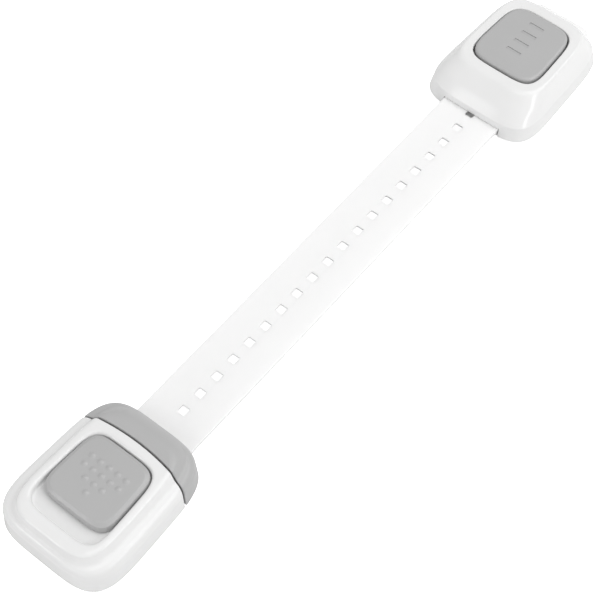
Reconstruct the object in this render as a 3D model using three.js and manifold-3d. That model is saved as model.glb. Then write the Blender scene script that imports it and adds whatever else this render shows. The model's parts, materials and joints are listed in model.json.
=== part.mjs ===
// Child safety strap lock for a refrigerator door: a latch unit and an adjuster unit on one holed strap.
// Millimetres. X runs along the strap from latch to adjuster, and Z is up from the surface it sticks to.
import * as THREE from 'three';
import { mergeVertices } from 'three/addons/utils/BufferGeometryUtils.js';
import Module from 'manifold-3d';

const wasm = await Module();
wasm.setup();

// Fits
const CLEARANCE = 0.3; // running gap between neighbouring pieces
const WALL = 1.6; // moulded shell walls
const SKIN = 1.2; // floors, lids and ribs inside the shells

// Layout along the strap
const UNIT_LENGTH = 47.5; // each unit, the latch's plug included
const LOCKED_HOLE = 22; // strap holes ahead of the one that the pawl holds
const STRAP_TAIL = 3.6; // free end behind the adjuster

// Outer form that both units share
const SIDE_MARGIN = 9.1; // from the strap's edge to the unit's side
const PLAN_TAPER = 0.002; // share of the width lost for each millimetre toward the adjuster
const PLAN_POWER = 4.4; // squareness of the outline at the wall
const PLATEAU_POWER = 4.6; // squareness of the outline at the plateau
const LATCH_WALL = 7.2; // height where the latch's upright wall turns into its shoulder
const ADJUSTER_WALL = 6; // the same on the adjuster
const PLATEAU = 12.4; // height of the flat rim round the buttons
const WALL_DRAFT = 0.35; // lean of the upright wall
const EDGE_ROUND = 0.4; // bottom edge

// How far the shoulders reach in from the wall, at the end toward -X, the end toward +X and the sides
const LATCH_REACH = { start: 3.5, end: 5.6, side: 5.4 };
const ADJUSTER_REACH = { start: 10.4, end: 4.8, side: 4.6 };

// Base plates, pads and screws
const PAD_THICKNESS = 0.8;
const PAD_MARGIN = 1.2; // pad edge inside the base's edge
const BASE_THICKNESS = 1.4;
const SCREW_INSET = 3.2; // screw axis inside the shell's wall
const SCREW_SHANK = 1.7;
const SCREW_HEAD = 3.2;
const SCREW_HEAD_THICKNESS = 0.8;
const SCREW_LENGTH = 6;
const SCREW_BOSS = 4.2;
const SEAT_WALL = 0.6; // wall round a screw head in the base

// Strap
const STRAP_WIDTH = 20;
const STRAP_THICKNESS = 1.4;
const STRAP_CORNER = 2.5;
const HOLE_SIZE = 3;
const HOLE_PITCH = 7;
const FIRST_HOLE = 8.5; // from the plug's nose to the first hole
const LAST_HOLE_MARGIN = 5; // strap left behind the last hole
const STRAP_GRIP = 6.2; // strap held inside the plug
const ANCHOR_PEG = 2;
const ANCHOR_SPREAD = 12;

// Plug and its tongue
const PLUG_LENGTH = 9.3;
const SPLIT_RADIUS = 69; // plan curve of the line between housing and plug
const SPLIT_GAP = 0.5;
const TONGUE_LENGTH = 17;
const TONGUE_WIDTH = 14;
const TONGUE_THICKNESS = 2.2;
const TONGUE_TIP = 4.4; // arrow head ahead of the notches
const NOTCH_LENGTH = 3.2;
const NOTCH_DEPTH = 1.8;

// Slide button in its track
const SLIDE_RIM = 7.95; // from the unit's side to the button
const SLIDE_TRAVEL = 4.2;
const SLIDE_PROUD = 0.7; // top of the button above the plateau
const SLIDE_POWER = 5.2;
const TRACK_RIM = 3.6; // plateau left between track and split line
const TRACK_SETBACK = 7.4; // from the unit's end to the track
const TRACK_DEPTH = 2.4;
const TRACK_FLARE = 0.9; // lean of the track's walls
const BUTTON_GAP = 0.5; // visible gap round a button
const BUTTON_TAPER = 0.0035;
const BUTTON_EDGE = 0.9; // rounded top edge
const BUTTON_WALL = 1.3;
const GRIP_ROWS = [5, 5, 3, 1]; // raised dots in each row, front to back
const GRIP_PITCH = 3;
const GRIP_RADIUS = 0.8;
const GRIP_HEIGHT = 0.35;
const GRIP_ROUND = 0.7; // share of the radius and height where a dot's side turns over
const GRIP_INSET = 6.7; // from the button's front edge to the first row

// Slider, catch and return spring under the track
const POST_LENGTH = 6;
const POST_WIDTH = 5;
const SLIDER_THICKNESS = 2;
const SPREADER_PIN = 2.2;
const PUSHER_THICKNESS = 1.4;
const CLIP_ARM = 1.4;
const CLIP_SPINE = 3.8;
const CLIP_PEG = 2.2;
const CLIP_PEG_SPREAD = 8;
const RETURN_SPRING = { length: 8.4, diameter: 3.4, wire: 0.5, turns: 6 };

// Push button, rocker pawl and chassis
const PUSH_SETBACK = 13.6; // from the adjuster's front to the button's front
const PUSH_BACKSET = 8.8; // from the button's rear to the adjuster's rear
const PUSH_RIM = 7.8; // from the unit's side to the button
const PUSH_TRAVEL = 1.6; // down to the stops on the chassis
const PUSH_PROUD = 0.9;
const PUSH_POWER = 4.6;
const PUSH_FLANGE = 1.1;
const COLLAR_DEPTH = 1.6; // guide round the push button, below the lid
const CHASSIS_OVERHANG = 2.1; // past the push button's front and rear
const PIVOT_HEIGHT = 1.7; // pivot axis above the chassis roof
const PIVOT_PIN = 2;
const ROCKER_ARM = 6.5; // pivot to tooth, and pivot to press pad
const TOOTH_LEAD = 4.8; // tooth ahead of the push button's middle
const ROCKER_WIDTH = 8;
const ROCKER_HUB = 1.6;
const PRESS_PAD = 2.4; // press pad above the pivot axis
const TOOTH_LENGTH = 1.5;
const TOOTH_WIDTH = 2.2;
const TOOTH_DEPTH = 1.2; // reach into the strap
const EAR_THICKNESS = 1.2;
const PUSH_SPRING = { diameter: 4, wire: 0.5, turns: 4 };
const SPRING_INSET = 0.5; // between a spring and the button's wall

// Facets
const RING_POINTS = 44;
const ROUND_SIDES = 16;
const DOT_SIDES = 8;
const CURVE_STEPS = 8;
const SHOULDER_STEPS = 7;
const EDGE_ANGLES = [0, 30, 60, 90]; // degrees up a button's rounded edge
const TURN_STEPS = 8; // points in one turn of a spring
const WIRE_SIDES = 5;
const CUT_MARGIN = 2; // how far a cutting body runs past what it cuts

// Widths that follow
const UNIT_WIDTH = STRAP_WIDTH + 2 * SIDE_MARGIN;
const SCREW_SPREAD = UNIT_WIDTH - 2 * (WALL + SCREW_INSET);
const SCREW_SEAT_DIAMETER = SCREW_HEAD + 2 * CLEARANCE + 2 * SEAT_WALL;
const SLIDE_WIDTH = UNIT_WIDTH - 2 * SLIDE_RIM;
const PUSH_WIDTH = UNIT_WIDTH - 2 * PUSH_RIM;
const SPRING_SPREAD = PUSH_WIDTH - 2 * (BUTTON_WALL + SPRING_INSET) - PUSH_SPRING.diameter;

// Heights that follow
const BASE_TOP = PAD_THICKNESS + BASE_THICKNESS;
const STRAP_BOTTOM = BASE_TOP + CLEARANCE;
const STRAP_TOP = STRAP_BOTTOM + STRAP_THICKNESS;
const TRACK_FLOOR = PLATEAU - TRACK_DEPTH;
const SLIDER_TOP = TRACK_FLOOR - SKIN - CLEARANCE;
const SLIDER_BOTTOM = SLIDER_TOP - SLIDER_THICKNESS;
const TONGUE_TOP = SLIDER_BOTTOM - CLEARANCE;
const TONGUE_BOTTOM = TONGUE_TOP - TONGUE_THICKNESS;
const SLIDE_BOTTOM = TRACK_FLOOR + CLEARANCE;
const SLIDE_TOP = PLATEAU + SLIDE_PROUD;
const PUSH_TOP = PLATEAU + PUSH_PROUD;
const COLLAR_BOTTOM = PLATEAU - WALL - COLLAR_DEPTH;
const FLANGE_TOP = COLLAR_BOTTOM - CLEARANCE;
const PUSH_BOTTOM = FLANGE_TOP - SKIN;
const ROOF_BOTTOM = STRAP_TOP + CLEARANCE;
const ROOF_TOP = ROOF_BOTTOM + SKIN;
const PIVOT_Z = ROOF_TOP + PIVOT_HEIGHT;

// Places along X. Each unit's pieces are measured from that unit's centre.
const UNIT_START = -UNIT_LENGTH / 2;
const UNIT_END = UNIT_LENGTH / 2;
const PUSH_FRONT = UNIT_START + PUSH_SETBACK;
const PUSH_REAR = UNIT_END - PUSH_BACKSET;
const TOOTH_X = (PUSH_FRONT + PUSH_REAR) / 2 - TOOTH_LEAD;
const PIVOT_X = TOOTH_X + ROCKER_ARM;
const UNIT_SPACING = UNIT_END + FIRST_HOLE + LOCKED_HOLE * HOLE_PITCH - TOOTH_X;
const TOTAL_LENGTH = UNIT_LENGTH + UNIT_SPACING + STRAP_TAIL;
const LATCH_X = (UNIT_LENGTH - TOTAL_LENGTH) / 2;
const ADJUSTER_X = LATCH_X + UNIT_SPACING;
const SPLIT_X = UNIT_END - PLUG_LENGTH;
const TRACK_FRONT = SPLIT_X - TRACK_RIM;
const SLIDE_FRONT = TRACK_FRONT - BUTTON_GAP;
const TRACK_REAR = UNIT_START + TRACK_SETBACK;
const SLIDE_REAR = TRACK_REAR + BUTTON_GAP + SLIDE_TRAVEL;
const POST_X = (SLIDE_FRONT + SLIDE_REAR) / 2;
const TONGUE_END = SPLIT_X + SPLIT_GAP / 2 - TONGUE_LENGTH;
const PUSHER_FRONT = TONGUE_END - CLEARANCE;
const PUSHER_REAR = PUSHER_FRONT - PUSHER_THICKNESS;
const SPINE_FRONT = PUSHER_REAR - RETURN_SPRING.length - 2 * CLEARANCE;
const SPINE_REAR = SPINE_FRONT - CLIP_SPINE;
const SPINE_MIDDLE = (SPINE_REAR + SPINE_FRONT) / 2;
const FIRST_HOLE_X = LATCH_X + UNIT_END + FIRST_HOLE;
const STRAP_END_X = TOTAL_LENGTH / 2;
const STRAP_START_X = LATCH_X + UNIT_END - STRAP_GRIP;
const HOLE_COUNT = Math.floor((STRAP_END_X - LAST_HOLE_MARGIN - FIRST_HOLE_X) / HOLE_PITCH) + 1;

// Joining and cutting

function toSolid(geometry) {
  const bare = geometry.clone();
  bare.deleteAttribute('normal');
  bare.deleteAttribute('uv');
  const merged = mergeVertices(bare);
  const vertProperties = Float32Array.from(merged.attributes.position.array);
  const triVerts = Uint32Array.from(merged.index.array);
  return new wasm.Manifold(new wasm.Mesh({ numProp: 3, vertProperties, triVerts }));
}

function toGeometry(solid) {
  const mesh = solid.getMesh();
  const geometry = new THREE.BufferGeometry();
  geometry.setAttribute('position', new THREE.BufferAttribute(mesh.vertProperties, 3));
  geometry.setIndex(new THREE.BufferAttribute(mesh.triVerts, 1));
  geometry.computeVertexNormals();
  return geometry;
}

function join(...solids) {
  return solids.reduce((whole, solid) => whole.add(solid));
}

// Basic bodies

function block(x0, x1, y0, y1, z0, z1) {
  const geometry = new THREE.BoxGeometry(x1 - x0, y1 - y0, z1 - z0);
  return toSolid(geometry.translate((x0 + x1) / 2, (y0 + y1) / 2, (z0 + z1) / 2));
}

function rod(x, y, diameter, z0, z1) {
  const geometry = new THREE.CylinderGeometry(diameter / 2, diameter / 2, z1 - z0, ROUND_SIDES);
  return toSolid(geometry.rotateX(Math.PI / 2).translate(x, y, (z0 + z1) / 2));
}

function crossRod(x, z, diameter, halfWidth) {
  const geometry = new THREE.CylinderGeometry(diameter / 2, diameter / 2, 2 * halfWidth, ROUND_SIDES);
  return toSolid(geometry.translate(x, 0, z));
}

function prism(shape, z0, z1) {
  const settings = { depth: z1 - z0, bevelEnabled: false, curveSegments: CURVE_STEPS };
  const geometry = new THREE.ExtrudeGeometry(shape, settings);
  return toSolid(geometry.translate(0, 0, z0));
}

// Side view outline in X and Z, run across the strap.
function sideProfile(points, y0, y1) {
  const shape = new THREE.Shape(points.map(([x, z]) => new THREE.Vector2(x, z)));
  const geometry = new THREE.ExtrudeGeometry(shape, { depth: y1 - y0, bevelEnabled: false });
  return toSolid(geometry.rotateX(Math.PI / 2).translate(0, y1, 0));
}

// The same block on both sides of the strap's middle line.
function blockPair(x0, x1, inner, outer, z0, z1) {
  return join(block(x0, x1, inner, outer, z0, z1), block(x0, x1, -outer, -inner, z0, z1));
}

function rodPair(x, spread, diameter, z0, z1) {
  return join(rod(x, spread / 2, diameter, z0, z1), rod(x, -spread / 2, diameter, z0, z1));
}

// Rounded rectangle whose sides bulge a little, narrowing along X.
function ring(z, x0, x1, halfWidth, power, taper) {
  const middle = (x0 + x1) / 2;
  const halfLength = (x1 - x0) / 2;
  const bulge = (value) => Math.sign(value) * Math.abs(value) ** (2 / power);
  const points = [];
  for (let i = 0; i < RING_POINTS; i += 1) {
    const angle = (2 * Math.PI * i) / RING_POINTS;
    const x = middle + halfLength * bulge(Math.cos(angle));
    const y = halfWidth * bulge(Math.sin(angle)) * (1 - taper * x);
    points.push(new THREE.Vector3(x, y, z));
  }
  return points;
}

// Closed body through rings of equal point counts, from the lowest to the highest.
function loft(rings) {
  const centres = [rings[0], rings[rings.length - 1]].map((points) => {
    const sum = points.reduce((total, point) => total.add(point), new THREE.Vector3());
    return sum.divideScalar(points.length);
  });
  const points = [...rings.flat(), ...centres];
  const lowCentre = points.length - 2;
  const highCentre = points.length - 1;
  const count = rings[0].length;
  const lastRing = (rings.length - 1) * count;
  const faces = [];
  for (let i = 0; i < count; i += 1) {
    const next = (i + 1) % count;
    faces.push(lowCentre, next, i, highCentre, lastRing + i, lastRing + next);
    for (let low = 0; low < lastRing; low += count) {
      const high = low + count;
      faces.push(low + i, low + next, high + next, low + i, high + next, high + i);
    }
  }
  const geometry = new THREE.BufferGeometry();
  geometry.setFromPoints(points);
  geometry.setIndex(faces);
  return toSolid(geometry);
}

// Outer form of the units

// Shoulders from the wall's top to the plateau, as shares of their reach and of their rise.
const STEPPED_CURVE = new THREE.SplineCurve([
  new THREE.Vector2(0, 0),
  new THREE.Vector2(0.11, 0.3),
  new THREE.Vector2(0.34, 0.48),
  new THREE.Vector2(0.62, 0.57),
  new THREE.Vector2(0.82, 0.79),
  new THREE.Vector2(1, 1),
]);
const ROUND_CURVE = new THREE.SplineCurve([
  new THREE.Vector2(0, 0),
  new THREE.Vector2(0.1, 0.15),
  new THREE.Vector2(0.36, 0.44),
  new THREE.Vector2(0.68, 0.75),
  new THREE.Vector2(0.87, 0.93),
  new THREE.Vector2(1, 1),
]);
const LATCH_SHOULDER = { ...LATCH_REACH, foot: LATCH_WALL, curve: STEPPED_CURVE };
const ADJUSTER_SHOULDER = { ...ADJUSTER_REACH, foot: ADJUSTER_WALL, curve: ROUND_CURVE };

// Ring of a unit's shell at a height, drawn in from the unit's outline on each side.
function shellRing(z, shoulder, share, inset) {
  const reach = (side) => WALL_DRAFT + share * (shoulder[side] - WALL_DRAFT) + inset;
  const power = PLAN_POWER + share * (PLATEAU_POWER - PLAN_POWER);
  const halfWidth = UNIT_WIDTH / 2 - reach('side');
  return ring(z, UNIT_START + reach('start'), UNIT_END - reach('end'), halfWidth, power, PLAN_TAPER);
}

function shoulderRings(shoulder, inset) {
  return shoulder.curve.getPoints(SHOULDER_STEPS).map(({ x: share, y: rise }) => {
    const z = shoulder.foot + rise * (PLATEAU - shoulder.foot - inset);
    return shellRing(z, shoulder, share, inset);
  });
}

function shellOutside(shoulder) {
  return loft([
    shellRing(PAD_THICKNESS, shoulder, 0, EDGE_ROUND - WALL_DRAFT),
    shellRing(PAD_THICKNESS + EDGE_ROUND, shoulder, 0, -WALL_DRAFT),
    ...shoulderRings(shoulder, 0),
  ]);
}

function shellInside(shoulder) {
  const low = PAD_THICKNESS - CUT_MARGIN;
  return loft([shellRing(low, shoulder, 0, WALL - WALL_DRAFT), ...shoulderRings(shoulder, WALL)]);
}

// Everything ahead of the curved line that parts the plug from the latch housing.
function aheadOfSplit(offset) {
  const radius = SPLIT_RADIUS + offset;
  const centre = SPLIT_X - SPLIT_RADIUS;
  const spread = Math.asin(UNIT_WIDTH / radius);
  const far = UNIT_END + CUT_MARGIN;
  const shape = new THREE.Shape();
  shape.absarc(centre, 0, radius, -spread, spread, false);
  shape.lineTo(far, UNIT_WIDTH);
  shape.lineTo(far, -UNIT_WIDTH);
  return prism(shape, -CUT_MARGIN, PLATEAU + CUT_MARGIN);
}

// Parts that both units have

// Slice of a unit's whole plan between two heights.
function layer(z0, z1) {
  return block(-UNIT_LENGTH, UNIT_LENGTH, -UNIT_WIDTH, UNIT_WIDTH, z0, z1);
}

function screwPlaces() {
  return [SCREW_SPREAD / 2, -SCREW_SPREAD / 2];
}

const SCREW_SEAT = BASE_TOP + SKIN; // top of the raised seat round a screw hole
const SCREW_BOTTOM = PAD_THICKNESS + CLEARANCE;

function screwBosses(outside) {
  const bosses = screwPlaces().map((y) => {
    const boss = rod(0, y, SCREW_BOSS, SCREW_SEAT + CLEARANCE, PLATEAU).intersect(outside);
    return boss.subtract(rod(0, y, SCREW_SHANK + CLEARANCE, 0, SCREW_BOTTOM + SCREW_LENGTH + CLEARANCE));
  });
  return join(...bosses);
}

function screw(y) {
  const headTop = SCREW_BOTTOM + SCREW_HEAD_THICKNESS;
  const head = rod(0, y, SCREW_HEAD, SCREW_BOTTOM, headTop);
  return head.add(rod(0, y, SCREW_SHANK, SCREW_BOTTOM, SCREW_BOTTOM + SCREW_LENGTH));
}

// Flat plate that closes a shell from below, with its two screw seats.
function basePlate(outline) {
  let plate = outline.intersect(layer(PAD_THICKNESS, BASE_TOP));
  for (const y of screwPlaces()) {
    const headRoom = SCREW_BOTTOM + SCREW_HEAD_THICKNESS + CLEARANCE;
    plate = plate.add(rod(0, y, SCREW_SEAT_DIAMETER, PAD_THICKNESS, SCREW_SEAT));
    plate = plate.subtract(rod(0, y, SCREW_SHANK + 2 * CLEARANCE, 0, PLATEAU));
    plate = plate.subtract(rod(0, y, SCREW_HEAD + 2 * CLEARANCE, 0, headRoom));
  }
  return plate;
}

// Space inside a unit's wall at the height of its base, drawn in by a margin.
function floorOutline(shoulder, margin) {
  const inset = WALL + margin - WALL_DRAFT;
  return loft([shellRing(-CUT_MARGIN, shoulder, 0, inset), shellRing(shoulder.foot, shoulder, 0, inset)]);
}

function pad(outline) {
  return outline.intersect(layer(0, PAD_THICKNESS));
}

// Coil springs

function springPath(spring, length) {
  const radius = (spring.diameter - spring.wire) / 2;
  const steps = spring.turns * TURN_STEPS;
  const path = [new THREE.Vector3(radius, 0, 0)];
  for (let i = 0; i <= steps; i += 1) {
    const angle = (2 * Math.PI * spring.turns * i) / steps;
    const z = spring.wire + ((length - 2 * spring.wire) * i) / steps;
    path.push(new THREE.Vector3(radius * Math.cos(angle), radius * Math.sin(angle), z));
  }
  path.push(new THREE.Vector3(radius, 0, length));
  return path;
}

// Least clear space between turns that lie at least half a turn apart.
function leastGap(path, wire) {
  let least = Infinity;
  for (let i = 0; i < path.length; i += 1) {
    for (let j = i + TURN_STEPS / 2 + 1; j < path.length; j += 1) {
      least = Math.min(least, path[i].distanceTo(path[j]) - wire);
    }
  }
  return least;
}

function springGeometry(name, spring, length) {
  const path = springPath(spring, length);
  console.log(`${name}: least gap between turns ${leastGap(path, spring.wire).toFixed(2)} mm`);
  const points = [];
  path.forEach((point, i) => {
    const before = path[Math.max(i - 1, 0)];
    const after = path[Math.min(i + 1, path.length - 1)];
    const along = after.clone().sub(before).normalize();
    const outward = new THREE.Vector3(point.x, point.y, 0).normalize();
    const across = new THREE.Vector3().crossVectors(along, outward).normalize();
    outward.crossVectors(across, along);
    for (let k = 0; k < WIRE_SIDES; k += 1) {
      const angle = (2 * Math.PI * k) / WIRE_SIDES;
      const corner = point.clone();
      corner.addScaledVector(outward, (spring.wire / 2) * Math.cos(angle));
      corner.addScaledVector(across, (spring.wire / 2) * Math.sin(angle));
      points.push(corner);
    }
  });
  const faces = [];
  const last = (path.length - 1) * WIRE_SIDES;
  for (let k = 0; k < WIRE_SIDES; k += 1) {
    const next = (k + 1) % WIRE_SIDES;
    for (let low = 0; low < last; low += WIRE_SIDES) {
      const high = low + WIRE_SIDES;
      faces.push(low + k, low + next, high + next, low + k, high + next, high + k);
    }
  }
  for (let k = 1; k < WIRE_SIDES - 1; k += 1) {
    faces.push(0, k + 1, k, last, last + k, last + k + 1);
  }
  const geometry = new THREE.BufferGeometry();
  geometry.setFromPoints(points);
  geometry.setIndex(faces);
  geometry.computeVertexNormals();
  return geometry;
}

// Latch unit

function trackRing(z, margin) {
  const halfWidth = SLIDE_WIDTH / 2 + BUTTON_GAP + margin;
  return ring(z, TRACK_REAR - margin, TRACK_FRONT + margin, halfWidth, SLIDE_POWER, BUTTON_TAPER);
}

// Room for the tongue in the walls on both sides of the split.
function tongueMouth() {
  const half = TONGUE_WIDTH / 2 + CLEARANCE;
  const x0 = SPLIT_X - PLUG_LENGTH;
  const x1 = SPLIT_X + PLUG_LENGTH / 2;
  return block(x0, x1, -half, half, TONGUE_BOTTOM - CLEARANCE, TONGUE_TOP + CLEARANCE);
}

function latchHousing() {
  const outside = shellOutside(LATCH_SHOULDER);
  const frontWall = aheadOfSplit(-SPLIT_GAP / 2 - WALL);
  const trackPan = loft([trackRing(TRACK_FLOOR - SKIN, SKIN), trackRing(PLATEAU, SKIN)]);
  const room = shellInside(LATCH_SHOULDER).subtract(frontWall).subtract(trackPan);
  const track = loft([
    trackRing(TRACK_FLOOR, 0),
    trackRing(PLATEAU - BUTTON_EDGE, 0),
    trackRing(PLATEAU, TRACK_FLARE),
    trackRing(PLATEAU + CUT_MARGIN, TRACK_FLARE),
  ]);
  const slotRear = POST_X - POST_LENGTH / 2 - SLIDE_TRAVEL - CLEARANCE;
  const slotFront = POST_X + POST_LENGTH / 2 + CLEARANCE;
  const slotHalf = POST_WIDTH / 2 + CLEARANCE;
  const slot = block(slotRear, slotFront, -slotHalf, slotHalf, SLIDER_TOP, PLATEAU);
  return outside
    .subtract(aheadOfSplit(-SPLIT_GAP / 2))
    .subtract(room)
    .add(screwBosses(outside))
    .subtract(track)
    .subtract(slot)
    .subtract(tongueMouth());
}

function latchBase() {
  const outline = floorOutline(LATCH_SHOULDER, CLEARANCE);
  const plate = basePlate(outline.subtract(aheadOfSplit(-SPLIT_GAP / 2 - WALL - CLEARANCE)));
  const seatHalf = TONGUE_WIDTH / 2;
  const clipSeat = block(SPINE_REAR, SPINE_FRONT, -seatHalf, seatHalf, BASE_TOP, TONGUE_BOTTOM);
  const pegs = rodPair(SPINE_MIDDLE, CLIP_PEG_SPREAD, CLIP_PEG - 2 * CLEARANCE, BASE_TOP, TONGUE_TOP);
  const railOuter = TONGUE_WIDTH / 2 - NOTCH_DEPTH - CLEARANCE;
  const railFront = SPLIT_X - SPLIT_GAP / 2 - WALL - SKIN;
  const railTop = TONGUE_BOTTOM - CLEARANCE;
  const rails = blockPair(TONGUE_END, railFront, railOuter - SKIN, railOuter, PAD_THICKNESS, railTop);
  return join(plate, clipSeat, pegs, rails);
}

function catchClip() {
  const inner = TONGUE_WIDTH / 2 + CLEARANCE;
  const outer = inner + CLIP_ARM;
  const hookReach = NOTCH_DEPTH;
  const shoulderX = TONGUE_END + TONGUE_TIP + CLEARANCE;
  const hookEnd = shoulderX + NOTCH_LENGTH - 2 * CLEARANCE;
  const pinRear = PUSHER_REAR - CLEARANCE;
  const rampEnd = pinRear - SLIDE_TRAVEL;
  const shape = new THREE.Shape();
  shape.moveTo(SPINE_REAR, -outer);
  shape.lineTo(hookEnd, -outer);
  shape.lineTo(hookEnd, -inner);
  shape.lineTo(shoulderX, hookReach - inner);
  shape.lineTo(shoulderX, -inner);
  shape.lineTo(pinRear, -inner);
  shape.lineTo(rampEnd, hookReach - inner);
  shape.lineTo(rampEnd, -inner);
  shape.lineTo(SPINE_FRONT, -inner);
  shape.lineTo(SPINE_FRONT, inner);
  shape.lineTo(rampEnd, inner);
  shape.lineTo(rampEnd, inner - hookReach);
  shape.lineTo(pinRear, inner);
  shape.lineTo(shoulderX, inner);
  shape.lineTo(shoulderX, inner - hookReach);
  shape.lineTo(hookEnd, inner);
  shape.lineTo(hookEnd, outer);
  shape.lineTo(SPINE_REAR, outer);
  const pegHoles = rodPair(SPINE_MIDDLE, CLIP_PEG_SPREAD, CLIP_PEG, 0, PLATEAU);
  return prism(shape, TONGUE_BOTTOM, TONGUE_TOP).subtract(pegHoles);
}

function gripDots() {
  const profile = [
    [0, -GRIP_HEIGHT],
    [GRIP_RADIUS, -GRIP_HEIGHT],
    [GRIP_RADIUS, 0],
    [GRIP_RADIUS * GRIP_ROUND, GRIP_HEIGHT * GRIP_ROUND],
    [0, GRIP_HEIGHT],
  ].map(([radius, height]) => new THREE.Vector2(radius, height));
  const dots = GRIP_ROWS.flatMap((count, row) => Array.from({ length: count }, (_, i) => {
    const dot = new THREE.LatheGeometry(profile, DOT_SIDES).rotateX(Math.PI / 2);
    const x = SLIDE_FRONT - GRIP_INSET - row * GRIP_PITCH;
    return toSolid(dot.translate(x, (i - (count - 1) / 2) * GRIP_PITCH, SLIDE_TOP));
  }));
  return join(...dots);
}

// Button lid with a rounded top edge and a hollow underside.
function buttonLid(x0, x1, width, power, bottom, top) {
  const lidRing = (z, inset) => ring(z, x0 + inset, x1 - inset, width / 2 - inset, power, BUTTON_TAPER);
  const edge = EDGE_ANGLES.map((degrees) => {
    const angle = THREE.MathUtils.degToRad(degrees);
    return lidRing(top - BUTTON_EDGE * (1 - Math.sin(angle)), BUTTON_EDGE * (1 - Math.cos(angle)));
  });
  const hollow = loft([lidRing(bottom - CUT_MARGIN, BUTTON_WALL), lidRing(top - BUTTON_WALL, BUTTON_WALL)]);
  return loft([lidRing(bottom, 0), ...edge]).subtract(hollow);
}

function slideButton() {
  const lid = buttonLid(SLIDE_REAR, SLIDE_FRONT, SLIDE_WIDTH, SLIDE_POWER, SLIDE_BOTTOM, SLIDE_TOP);
  const rear = POST_X - POST_LENGTH / 2;
  const front = POST_X + POST_LENGTH / 2;
  const lidUnderside = SLIDE_TOP - BUTTON_WALL;
  const post = block(rear, front, -POST_WIDTH / 2, POST_WIDTH / 2, SLIDER_TOP, lidUnderside + CLEARANCE);
  const screwHole = rod(POST_X, 0, SCREW_SHANK + CLEARANCE, 0, lidUnderside - CLEARANCE);
  return join(lid, post, gripDots()).subtract(screwHole);
}

function latchSlider() {
  const front = POST_X + POST_LENGTH / 2 + SKIN;
  const rear = Math.min(PUSHER_REAR, POST_X - POST_LENGTH / 2 - SKIN);
  const half = TONGUE_WIDTH / 2;
  const plate = block(rear, front, -half, half, SLIDER_BOTTOM, SLIDER_TOP);
  const pusherHalf = RETURN_SPRING.diameter / 2 + CLEARANCE;
  const pusher = block(PUSHER_REAR, PUSHER_FRONT, -pusherHalf, pusherHalf, TONGUE_BOTTOM, SLIDER_TOP);
  const pinX = PUSHER_REAR + SPREADER_PIN / 2;
  const pins = rodPair(pinX, TONGUE_WIDTH - SPREADER_PIN, SPREADER_PIN, TONGUE_BOTTOM, SLIDER_TOP);
  const screwHole = rod(POST_X, 0, SCREW_SHANK + 2 * CLEARANCE, 0, PLATEAU);
  const headRoomTop = SLIDER_BOTTOM + SCREW_HEAD_THICKNESS + CLEARANCE;
  const headRoom = rod(POST_X, 0, SCREW_HEAD + 2 * CLEARANCE, 0, headRoomTop);
  return join(plate, pusher, pins).subtract(screwHole).subtract(headRoom);
}

function sliderScrew() {
  const headBottom = SLIDER_BOTTOM;
  const headTop = SLIDER_BOTTOM + SCREW_HEAD_THICKNESS;
  const tip = SLIDE_TOP - BUTTON_WALL - 2 * CLEARANCE;
  return rod(POST_X, 0, SCREW_HEAD, headBottom, headTop).add(rod(POST_X, 0, SCREW_SHANK, headBottom, tip));
}

function returnSpring() {
  const geometry = springGeometry('latch_return_spring', RETURN_SPRING, RETURN_SPRING.length);
  geometry.rotateY(Math.PI / 2);
  return geometry.translate(SPINE_FRONT + CLEARANCE, 0, TONGUE_TOP - RETURN_SPRING.diameter / 2);
}

// Strap and plug

function plugCover() {
  const form = shellOutside(LATCH_SHOULDER).intersect(aheadOfSplit(SPLIT_GAP / 2));
  const room = shellInside(LATCH_SHOULDER).intersect(aheadOfSplit(SPLIT_GAP / 2 + SKIN));
  const slotHalf = STRAP_WIDTH / 2 + CLEARANCE;
  const slotBottom = STRAP_BOTTOM - CLEARANCE;
  const slotTop = STRAP_TOP + CLEARANCE;
  const slot = block(SPLIT_X + PLUG_LENGTH / 2, UNIT_LENGTH, -slotHalf, slotHalf, slotBottom, slotTop);
  return form.subtract(room).subtract(tongueMouth()).subtract(slot);
}

function plugBody() {
  const riserFront = UNIT_END - STRAP_GRIP - CLEARANCE;
  const outline = floorOutline(LATCH_SHOULDER, CLEARANCE);
  const inside = outline.intersect(aheadOfSplit(SPLIT_GAP / 2 + SKIN + CLEARANCE));
  const plate = inside.intersect(layer(PAD_THICKNESS, BASE_TOP));
  const half = TONGUE_WIDTH / 2;
  const riser = inside.intersect(block(0, riserFront, -half, half, PAD_THICKNESS, TONGUE_TOP));
  const pegX = UNIT_END - STRAP_GRIP / 2;
  const pegs = rodPair(pegX, ANCHOR_SPREAD, ANCHOR_PEG, PAD_THICKNESS, STRAP_TOP + SKIN);
  return join(plate, riser, tongue(riserFront), pegs);
}

function tongue(root) {
  const half = TONGUE_WIDTH / 2;
  const waist = half - NOTCH_DEPTH;
  const shoulderX = TONGUE_END + TONGUE_TIP;
  const notchEnd = shoulderX + NOTCH_LENGTH;
  const nose = half - TONGUE_TIP / 2;
  const shape = new THREE.Shape();
  shape.moveTo(root, -half);
  shape.lineTo(root, half);
  shape.lineTo(notchEnd, half);
  shape.lineTo(notchEnd, waist);
  shape.lineTo(shoulderX, waist);
  shape.lineTo(shoulderX, half);
  shape.lineTo(TONGUE_END, nose);
  shape.lineTo(TONGUE_END, -nose);
  shape.lineTo(shoulderX, -half);
  shape.lineTo(shoulderX, -waist);
  shape.lineTo(notchEnd, -waist);
  shape.lineTo(notchEnd, -half);
  return prism(shape, TONGUE_BOTTOM, TONGUE_TOP);
}

function squareHole(x) {
  const half = HOLE_SIZE / 2;
  return block(x - half, x + half, -half, half, 0, PLATEAU);
}

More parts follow.
